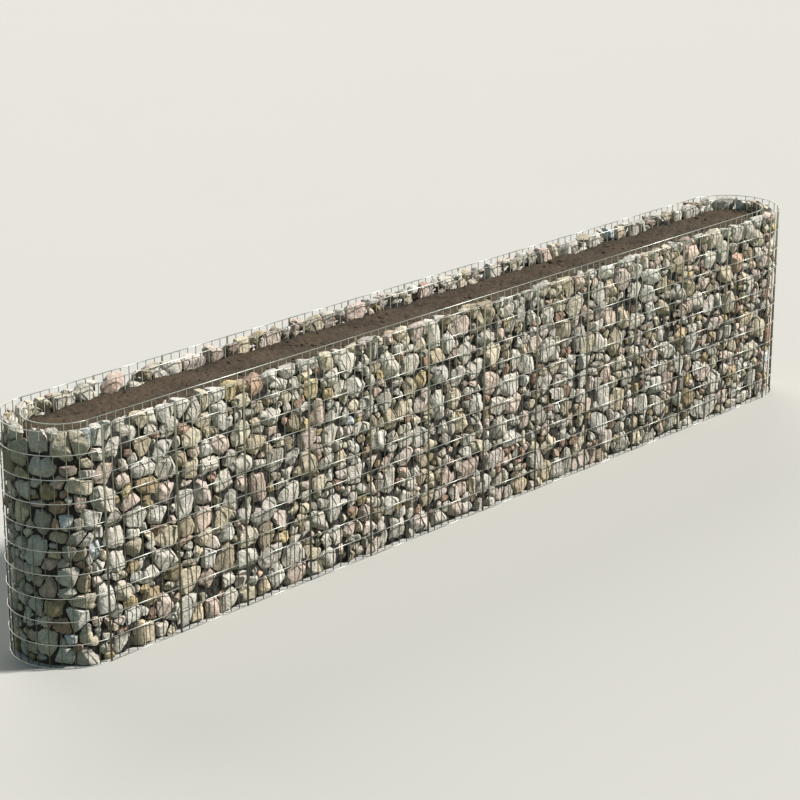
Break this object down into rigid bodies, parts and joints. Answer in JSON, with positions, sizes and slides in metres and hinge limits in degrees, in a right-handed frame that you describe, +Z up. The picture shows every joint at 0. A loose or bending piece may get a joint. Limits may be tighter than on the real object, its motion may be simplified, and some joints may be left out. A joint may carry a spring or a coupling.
{
  "type": "gabion raised bed",
  "caption": "Long round-ended gabion raised bed: a double cage of welded galvanised wire packed with stones around a trough of soil.",
  "frame": {"origin": "on the ground, at the middle of the bed's footprint", "axes": "+X along the bed's length, -Y towards its front face, +Z up"},
  "size_m": [5, 0.501, 1],
  "materials": {
    "galvanised_wire": "hot-dip galvanised, dull",
    "field_stone": "rough, mixed grey and buff",
    "garden_soil": "crumbly, matt"
  },
  "bodies": {
    "root": {"back_mesh_1": "galvanised_wire", "back_mesh_2": "galvanised_wire", "back_mesh_3": "galvanised_wire", "back_mesh_4": "galvanised_wire", "back_stones_1": "field_stone", "back_stones_2": "field_stone", "back_stones_3": "field_stone", "back_stones_4": "field_stone", "back_upright_wires": "galvanised_wire", "front_mesh_1": "galvanised_wire", "front_mesh_2": "galvanised_wire", "front_mesh_3": "galvanised_wire", "front_mesh_4": "galvanised_wire", "front_stones_1": "field_stone", "front_stones_2": "field_stone", "front_stones_3": "field_stone", "front_stones_4": "field_stone", "front_upright_wires": "galvanised_wire", "inner_back_mesh_1": "galvanised_wire", "inner_back_mesh_2": "galvanised_wire", "inner_back_mesh_3": "galvanised_wire", "inner_back_upright_wires": "galvanised_wire", "inner_front_mesh_1": "galvanised_wire", "inner_front_mesh_2": "galvanised_wire", "inner_front_mesh_3": "galvanised_wire", "inner_front_upright_wires": "galvanised_wire", "inner_left_arch_mesh": "galvanised_wire", "inner_left_arch_upright_wires": "galvanised_wire", "inner_right_arch_mesh": "galvanised_wire", "inner_right_arch_upright_wires": "galvanised_wire", "left_arch_mesh": "galvanised_wire", "left_arch_stones_1": "field_stone", "left_arch_stones_2": "field_stone", "left_arch_stones_3": "field_stone", "left_arch_upright_wires": "galvanised_wire", "right_arch_mesh": "galvanised_wire", "right_arch_stones_1": "field_stone", "right_arch_stones_2": "field_stone", "right_arch_stones_3": "field_stone", "right_arch_upright_wires": "galvanised_wire", "soil_fill": "garden_soil"}
  },
  "joints": []
}
